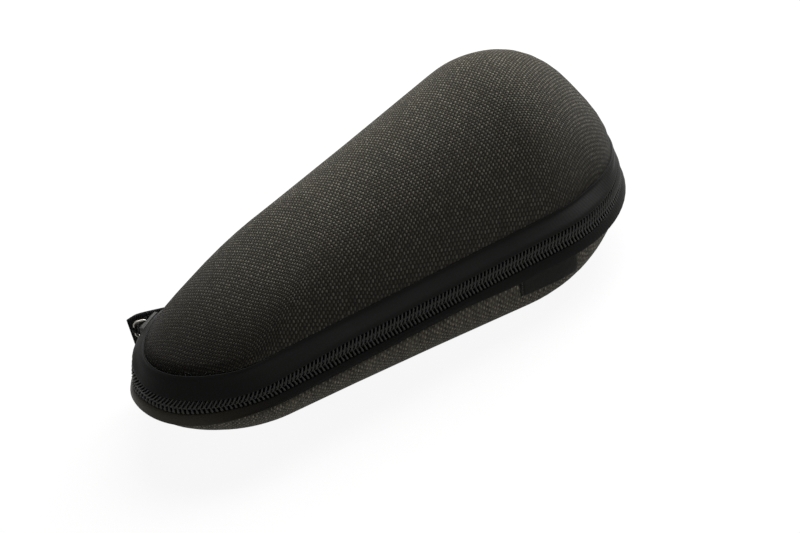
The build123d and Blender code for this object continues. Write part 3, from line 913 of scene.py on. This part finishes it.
tape_cloth = ribbed_cloth("woven_polyester_zip_tape", "0c0c0c", rib=0.6 * MM, relief=0.06 * MM)
for name, side, arcs, body, node, rests in (
    ("upper_tape", 1, zip_arcs(UPPER_ZIP_START), "lid", "upper_zip_tape", "upper_core"),
    ("lower_tape", -1, zip_arcs(), "base", "lower_zip_tape", "lower_core"),
):
    bm, length = sweep(curved([(inset, side * height) for inset, height in TAPE]), arcs)
    settle_zip(bm)
    turn_outwards(bm)
    area = surface(bm)
    tape = thicken(finish_mesh(bm, name, tape_cloth, body), TAPE_THICKNESS)
    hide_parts(node)
    print(name, round(length / MM), "mm long,", round(area / length / MM, 1), "mm showing")

# %% [markdown]
# ## One turn of the coil
# The zip's teeth are one nylon line wound into a spiral. Seen from outside, each turn
# is a strand from the tape's edge to the middle, where its head locks between the
# heads of the other row. One long spiral curve would be heavy and hard to aim, so one
# turn is a tube along a short curve. The strands lean, which makes a herringbone.

# %% The coil's line
# Drawn nylon is smooth and a little clear, so each strand has one narrow, soft gleam.
nylon, tree, shader = new_material("black_nylon_monofilament")
connect(tree, shader, {
    "Base Color": linear("181916"), "Roughness": 0.42, "IOR": 1.53, "Specular IOR Level": 0.24,
})

# Each point: outwards, along and up from the zip's middle in mm, and the line's thickness.
LINE_RADIUS = 0.36
UPPER_TURN = (
    (-1.9, 1.9, 3.5, 1), (-0.6, 1.6, 3.4, 1), (0, 0.8, 1.5, 0.95), (0.1, 0.15, -0.2, 1.05),
    (0.1, -0.1, -0.9, 1.3), (-0.5, -0.3, -1.4, 1.2), (-0.85, -0.5, 0, 1),
    (-1.0, 0.1, 1.5, 0.9), (-1.7, 0.8, 2.9, 0.8),
)
LOWER_TURN = (
    (-1.9, 1.0, -3.6, 1), (-0.7, 0.95, -4.3, 1.4), (0.2, 0.85, -3.9, 1.6),
    (-0.5, 0.65, -3.0, 1.0), (-0.55, 0.25, -1.6, 0.9), (-0.15, -0.05, 0.0, 1.0),
    (0, -0.15, 0.9, 1.3), (-0.5, -0.35, 1.2, 1.1), (-0.6, -0.5, -0.8, 1),
    (-0.7, -0.15, -2.6, 1), (-1.7, 0.2, -3.3, 0.9),
)


def turn_of_coil(name, places):
    """A mesh of one turn of the nylon line, in metres from its place on the zip."""
    curve = bpy.data.curves.new(name, "CURVE")
    curve.dimensions = "3D"
    curve.bevel_depth = LINE_RADIUS * MM
    curve.bevel_resolution = 1
    curve.resolution_u = 1
    line = curve.splines.new("NURBS")
    line.points.add(len(places) - 1)
    for point, (out, along, up, thickness) in zip(line.points, places):
        point.co = (out * MM, along * MM, up * MM, 1)
        point.radius = thickness
    line.use_endpoint_u = True
    line.order_u = 3
    holder = bpy.data.objects.new(name, curve)
    return bpy.data.meshes.new_from_object(holder)


print("coil's line:", 2 * LINE_RADIUS, "mm thick")

# %% [markdown]
# ## The coil's two rows
# An array along a curve would stretch the turns where the outline bends. Here each turn
# is set out at the coil's real pitch, and the upper row starts half a pitch on, so the
# heads of the two rows mesh. Each row stops short of the clamps at the zip's ends.

# %% The coil
COIL_PITCH, STOP_ROOM = 1.5, 2.4


def stations(arcs, pitch, start=0.0):
    """Places at equal steps along the zip: their matrices, with X outwards and Y along."""
    left = start
    for number, arc in enumerate(arcs):
        span = arc[1] * radians(arc[3] - arc[2])
        while left < span:
            bearing = arc[2] + degrees(left / arc[1])
            turn = Matrix.Rotation(radians(bearing), 4, "Z")
            yield Matrix.Translation(on_arc(arc, bearing)) @ turn
            left += pitch
        left -= span
        if number < len(arcs) - 1:
            begin, following = on_arc(arc, arc[3]), arcs[number + 1]
            turn = Matrix.Rotation(radians(arc[3]), 4, "Z")
            flank = on_arc(following, following[2]) - begin
            while left < flank.length / MM:
                yield Matrix.Translation(begin + flank.normalized() * left * MM) @ turn
                left += pitch
            left -= flank.length / MM


first, last = zip_arcs()[0], zip_arcs()[-1]
LOWER_COIL_START = ZIP_ENDS[0] + degrees(STOP_ROOM / first[1])
COIL_END = ZIP_ENDS[1] - degrees(STOP_ROOM / last[1])
for name, places, start, shift, body, node in (
    ("upper_row", UPPER_TURN, UPPER_ZIP_START, COIL_PITCH / 2, "lid", "upper_coil"),
    ("lower_row", LOWER_TURN, LOWER_COIL_START, 0.0, "base", "lower_coil"),
):
    turn = turn_of_coil(name + "_turn", places)
    bm = bmesh.new()
    for matrix in stations(zip_arcs(start, COIL_END), COIL_PITCH, shift):
        before = len(bm.verts)
        bm.from_mesh(turn)
        bm.verts.ensure_lookup_table()
        bmesh.ops.transform(bm, matrix=matrix, verts=bm.verts[before:])
    turns = len(bm.verts) // len(turn.vertices)
    settle_zip(bm)
    bmesh.ops.recalc_face_normals(bm, faces=bm.faces)
    row = finish_mesh(bm, name, nylon, body)
    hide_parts(node)
    print(name, turns, "turns,", len(turn.polygons), "faces each")

# %% [markdown]
# ## Linings
# Inside, each foam shell is lined with brushed tricot, a thin smooth knit. The lining
# could be a copy of the skin, shrunk, but that would change its distance from the
# foam. The level lines take a layer's depth, so it is the same shell again, deeper.

# %% The linings
# Brushed tricot is soft and even, with a low sheen that shows at the edges. Its loops
# are about 0.3 mm apart, too fine to show, so they are drawn about twice as coarse.
WALE, COURSE = 0.7 * MM, 0.5 * MM
DEPTH = SKIN + CORE

tricot, tree, shader = new_material("brushed_polyester_tricot")
cloth = add(tree, "ShaderNodeUVMap", uv_map="cloth")
parts = add(tree, "ShaderNodeSeparateXYZ", {0: cloth}).outputs
wales, courses = (
    add(tree, "ShaderNodeMath", {
        0: add(tree, "ShaderNodeMath", {0: parts[axis], 1: 2 * pi / pitch}, operation="MULTIPLY"),
    }, operation="SINE")
    for axis, pitch in (("X", WALE), ("Y", COURSE))
)
loops = add(tree, "ShaderNodeMath", {0: wales, 1: courses}, operation="MULTIPLY")
bump = add(tree, "ShaderNodeBump", {"Height": loops, "Distance": 0.05 * MM, "Strength": 0.6})
connect(tree, shader, {
    "Base Color": linear("232322"), "Normal": bump, "Roughness": 0.75, "Sheen Weight": 0.25,
})

dome_levels = [dome_level(angle, DEPTH) for angle in DOME_ANGLES]
tub_levels = [tub_level(share, DEPTH) for share in TUB_SHARES]
for name, levels, laid_on, body, node, rests, flat in (
    ("dome_lining", dome_levels, RIDGE, "lid", "upper_lining", "upper_core", (0.12, 0.245)),
    ("tub_lining", tub_levels, FOOT, "base", "lower_lining", "lower_core", (0.10, 0.215)),
):
    bm = shell(levels)
    map_cloth(bm, *laid_on)
    area = surface(bm)
    lining = thicken(finish_mesh(bm, name, tricot, body), LINING)
    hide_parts(node)
    print(name, round(area * 1e4), "cm2")

# %% [markdown]
# ## Rim bindings
# The foam's rims are bound with a narrow strip of cloth, folded over the edge. A
# bevelled edge on the foam would show no cloth, so this is a strip of its own. It runs
# along the whole outline, hinge side included, so its two ends are merged.

# %% The bindings
BINDING_THICKNESS = 0.45
ROOM_INSET = UPPER_INSET + DEPTH + LINING
UPPER_BINDING = curved([
    (ROOM_INSET - LINING - 3.2, 4.35), (ROOM_INSET - 2.6, 3.75), (ROOM_INSET, 3.6),
    (ROOM_INSET + 0.7, 4.0), (ROOM_INSET + 0.8, 5.2), (ROOM_INSET + 0.75, 6.9),
    (ROOM_INSET + 0.3, 7.2),
])
LIP_INSET = LOWER_INSET + DEPTH + LINING + 0.9
LOWER_BINDING = curved([
    (2.8, -5.3), (3.2, -5.0), (LIP_INSET, -4.95), (LIP_INSET + 0.6, -5.15),
    (LIP_INSET + 0.75, -5.7), (LIP_INSET + 0.6, -6.3),
])

binding_cloth = ribbed_cloth("black_binding_tape", "1a1a19", rib=0.8 * MM)
for name, profile, body, node, rests in (
    ("upper_rim_binding", UPPER_BINDING, "lid", "upper_binding", "upper_core"),
    ("lower_rim_binding", LOWER_BINDING, "base", "lower_binding", "lower_core"),
):
    bm, length = sweep(profile, pear_arcs(), closed=True)
    area = surface(bm)
    bmesh.ops.recalc_face_normals(bm, faces=bm.faces)
    facing = sum(face.normal.z * face.calc_area() for face in bm.faces)
    if (facing > 0) == (body == "lid"):
        bmesh.ops.reverse_faces(bm, faces=bm.faces)
    rim = thicken(finish_mesh(bm, name, binding_cloth, body), BINDING_THICKNESS)
    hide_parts(node)
    print(name, round(length / MM), "mm round,", round(area / length / MM, 1), "mm wide")

# %% [markdown]
# ## Hard pieces that are right as they are
# The slider, its ring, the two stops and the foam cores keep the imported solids' shapes.
# They could be modelled again, but their solids already have the real forms, so only
# their materials change, through their objects' slots.


# %% Metal, foam and thread
FINE_GRAIN = 1.5 / MM  # a pore or a pit every 0.7 mm


def plain(name, colour, metallic=0.0, roughness=0.5, grain=0.0):
    """A material of one colour, with an even grain in its roughness."""
    material, tree, shader = new_material(name)
    solid = add(tree, "ShaderNodeTexCoord").outputs["Object"]
    noise = add(tree, "ShaderNodeTexNoise", {
        "Vector": solid, "Scale": FINE_GRAIN, "Detail": 3.0,
    })
    rough = add(tree, "ShaderNodeMath", {
        0: noise, 1: 0.2, 2: roughness - 0.1,
    }, operation="MULTIPLY_ADD")
    connect(tree, shader, {
        "Base Color": linear(colour), "Metallic": metallic, "Roughness": rough,
    })
    if grain:
        bump = add(tree, "ShaderNodeBump", {"Height": noise, "Distance": grain, "Strength": 1.0})
        connect(tree, shader, {"Normal": bump})
    return material


def dress(node, material):
    """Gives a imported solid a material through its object's slots."""
    top = frame["nodes"][node]
    for piece in [top, *top.children_recursive]:
        if piece.type == "MESH":
            for place in piece.material_slots:
                place.link = "OBJECT"
                place.material = material


# Cast zinc with a dark plating is satin, and a plated wire ring is brighter and smoother.
dress("slider_body", plain("die_cast_zinc_gunmetal", "2e2e2d", 0.85, 0.42))
dress("pull_ring", plain("nickel_plated_wire", "83817b", 1.0, 0.3))
# The stops are stamped brass, lacquered black, and moulded foam is matt with fine pores.
for stop in ("handle_stop", "head_stop"):
    dress(stop, plain(stop + "_black_brass", "2c2b29", 0.6, 0.45))
for core in ("upper_core", "lower_core"):
    dress(core, plain(core + "_moulded_eva_foam", "1b1b1b", 0.0, 0.9, 0.05 * MM))
print("dressed solids: slider, ring, stops, cores")

# %% [markdown]
# ## Ribbon pull
# The pull is a grosgrain ribbon folded in two. Its fold stands in front of the slider's
# ring and its layers hang back over the zip. A narrow tab, gathered where it turns,
# runs round the ring's outer bar and is sewn between the layers. Cloth simulation could
# drop the ribbon, but it has to start on the ring exactly, so every point is measured
# from the ring's outer bar: back along the zip, out from the case, and up.

# %% Where the ribbon hangs
SLIDER_ANGLE, RING_LEAN, RIBBON_LEAN = 112, 40, 15
BRIDGE_OUT, RING_LENGTH = 2.1, 4.2


def direction(angle):
    """A level direction at an angle in degrees."""
    return Vector((cos(radians(angle)), sin(radians(angle)), 0))


BRIDGE = on_arc(zip_arcs()[0], SLIDER_ANGLE, inset=-BRIDGE_OUT)
RING_BAR = BRIDGE + direction(SLIDER_ANGLE + RING_LEAN) * RING_LENGTH * MM
BACK, FACE = direction(SLIDER_ANGLE - 90 - RIBBON_LEAN), direction(SLIDER_ANGLE - RIBBON_LEAN)


def at_ring(back, face, up):
    """A point measured in millimetres from the middle of the ring's outer bar."""
    return RING_BAR + (BACK * back + FACE * face + Vector((0, 0, up))) * MM


def along_ribbon(vertex):
    """How far back and how high a vertex of the pull lies, in metres."""
    return (vertex.co - RING_BAR).dot(BACK), vertex.co.z


print("ring's outer bar:", [round(value / MM, 2) for value in RING_BAR])

# %% The folded ribbon
# A grid twice the ribbon's length is folded at its middle: X is squared, so both halves
# run back from the fold, one on each side of the tab.
FOLD_BACK, RIBBON_END = (-0.2, -1.4), 24.0  # the fold at the foot and the top, and the ends
RIBBON_FOOT, RIBBON_TOP = (-8, -13), 4.2  # heights of the foot at the fold and at the ends
LEVEL_END, DROOP, BEND = 2.6, 0.385, 0.25  # where the top starts to droop, how fast, how softly
RIBBON_OUT, LAYER_GAP, FOLD_SHARE = 1.42, 0.17, 0.01
WAVE, WAVE_BACK, WAVE_UP = 0.35, 4, 1.2  # how far the ends wave, and how fast each way
RIBBON_THICKNESS, TAB_THICKNESS = 0.3, 0.24

grosgrain = ribbed_cloth("black_grosgrain_ribbon", "1c1c1b", rib=0.8 * MM, relief=0.08 * MM)
bm = bmesh.new()
bmesh.ops.create_grid(bm, x_segments=60, y_segments=14, size=1.0)
for vertex in bm.verts:
    side, share, up = (1 if vertex.co.x > 0 else -1), vertex.co.x ** 2, (vertex.co.y + 1) / 2
    back = mix(mix(*FOLD_BACK, up), RIBBON_END, share)
    past = (back - LEVEL_END) * DROOP
    top = RIBBON_TOP - (past + sqrt(past ** 2 + BEND)) / 2
    gap = LAYER_GAP * min(1, share / FOLD_SHARE) ** 0.5
    wave = WAVE * share * sin(WAVE_BACK * share + WAVE_UP * up)
    height = mix(mix(*RIBBON_FOOT, share), top, up)
    vertex.co = at_ring(back, RIBBON_OUT + side * gap + wave, height)
map_strip(bm, along_ribbon)
bmesh.ops.recalc_face_normals(bm, faces=bm.faces)
area = surface(bm)
ribbon = finish_mesh(bm, "folded_ribbon", grosgrain, "ribbon")
thicken(ribbon, RIBBON_THICKNESS, offset=0)
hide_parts("ribbon_pull")
print("ribbon:", round(area * 1e6), "mm2 of tape")

# %% The gathered tab
TAB = curved([
    (6.0, 1.0), (3.0, 0.95), (1.0, 0.95), (0.2, 0.98), (-0.65, 0.75), (-0.98, 0.0),
    (-0.65, -0.75), (0.1, -0.98), (0.85, -0.5), (1.3, 0.25), (3.0, 0.75), (6.0, 0.8),
], steps=3)
TAB_HALVES, GATHER = (0.75, 1.4), (-0.8, 2.5)  # half its width at the ring and past it

bm = bmesh.new()
bmesh.ops.create_grid(bm, x_segments=len(TAB) - 1, y_segments=4, size=1.0)
for vertex in bm.verts:
    back, face = TAB[round((vertex.co.x + 1) / 2 * (len(TAB) - 1))]
    half = mix(*TAB_HALVES, smooth_step(back, *GATHER))
    vertex.co = at_ring(back, face, vertex.co.y * half)
map_strip(bm, along_ribbon)
bmesh.ops.recalc_face_normals(bm, faces=bm.faces)
area = surface(bm)
tab = finish_mesh(bm, "gathered_tab", grosgrain, "ribbon")
thicken(tab, TAB_THICKNESS, offset=0)
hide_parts("ribbon_pull")
print("tab:", round(area * 1e6), "mm2")

# %% [markdown]
# ## Stitches
# A row of upright stitches holds the ribbon's layers together. Sewn thread could be one
# long curve, but only the top of each stitch shows. So each is a small ball of thread,
# drawn out along the seam and half sunk in the cloth.

# %% The ribbon's stitches
STITCHES, STITCH_STEP = 9, 1.15
STITCH_TOP = 7.0, 1.08, 2.0
RIBBON_STITCH = 0.16, (0.8, 0.6, 2.6)  # radius in mm, and how it is stretched


def stitch(bm, place, radius, shape):
    """Adds one stitch: a ball of thread in millimetres, stretched to its shape."""
    lie = Matrix.Translation(place) @ Matrix.Diagonal((*shape, 1))
    bmesh.ops.create_icosphere(bm, subdivisions=1, radius=radius * MM, matrix=lie)


bm = bmesh.new()
back, face, top = STITCH_TOP
for row in range(STITCHES):
    stitch(bm, at_ring(back, face, top - row * STITCH_STEP), *RIBBON_STITCH)
thread = plain("black_sewing_thread", "2a2a28", 0.0, 0.6)
stitches = finish_mesh(bm, "ribbon_stitches", thread, "ribbon")
print("stitches:", STITCHES)

# %% [markdown]
# ## Label
# A small woven label hangs from the lower band on the near side. A patch cut from the
# skin would have the skin's uneven edges. So a flat grid is cut to the label's shape
# and pressed against the skin, which gives it the shell's curve. It stays bare.

# %% The label
LABEL_X, LABEL_TOP, LABEL_FOOT = (25.5, 50.0), -6.9, (-12.9, -14.3)
LABEL_START, LABEL_OFF, LABEL_THICKNESS = -70, 0.45, 0.35

# A label's ribs are about 0.25 mm apart, too fine to show, so they are drawn at 0.45 mm.
label_cloth = ribbed_cloth(
    "woven_damask_label", "181816", rib=0.45 * MM, relief=0.04 * MM, across=True,
)
bm = bmesh.new()
bmesh.ops.create_grid(bm, x_segments=49, y_segments=16, size=0.5)
for vertex in bm.verts:
    across, down = vertex.co.x + 0.5, 0.5 - vertex.co.y
    height = mix(LABEL_TOP, mix(*LABEL_FOOT, across), down)
    along = LABEL_X[0] + across * (LABEL_X[1] - LABEL_X[0])
    vertex.co = Vector((along, LABEL_START, SPLIT_HEIGHT + height)) * MM
map_strip(bm, lambda vertex: (vertex.co.x, vertex.co.z))
label = finish_mesh(bm, "woven_label", label_cloth, "base")
press = label.modifiers.new("press", "SHRINKWRAP")
press.target = tub_skin
press.wrap_method = "PROJECT"
press.use_project_y = True
press.offset = LABEL_OFF * MM
bpy.context.view_layer.update()
depsgraph = bpy.context.evaluated_depsgraph_get()
pressed = bpy.data.meshes.new_from_object(label.evaluated_get(depsgraph))
label.modifiers.clear()
label.data = pressed
label.data.shade_smooth()
print("label pressed on:", len(pressed.polygons), "faces")

# %% [markdown]
# ## The label's seam
# The label is sewn down along its handle end, and the thread pulls a narrow groove into
# it. A bump could draw the groove, but then the stitches would lie on top. So the
# points along the seam are moved inwards, and the stitches lie in the groove.

# %% The label's seam and stitches
SEAM, SEAM_LINE = (0.4, 1.1), (0.4, 0.6)  # from the label's handle end, in mm
SEAM_DEPTH = 0.3
LABEL_STITCH, STITCH_OUT = (0.14, (0.9, 0.7, 2.4)), Vector((0.3, -0.12, 0)) * MM

bm = bmesh.new()
bm.from_mesh(label.data)
seam, sewn = (
    [vertex for vertex in bm.verts if low < vertex.co.x / MM - LABEL_X[0] < high]
    for low, high in (SEAM, SEAM_LINE)
)
bmesh.ops.translate(bm, vec=(0, SEAM_DEPTH * MM, 0), verts=seam)
thread_line = [vertex.co.copy() for vertex in sewn]
turn_outwards(bm)
area = surface(bm)
bm.to_mesh(label.data)
bm.free()
thicken(label, LABEL_THICKNESS)
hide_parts("side_label")

bm = bmesh.new()
for place in thread_line[1:-1:2]:
    stitch(bm, place + STITCH_OUT, *LABEL_STITCH)
grey_thread = plain("grey_sewing_thread", "3a3935", 0.0, 0.6)
label_thread = finish_mesh(bm, "label_stitches", grey_thread, "base")
print("label:", round(area * 1e6), "mm2,", len(thread_line[1:-1:2]), "stitches")
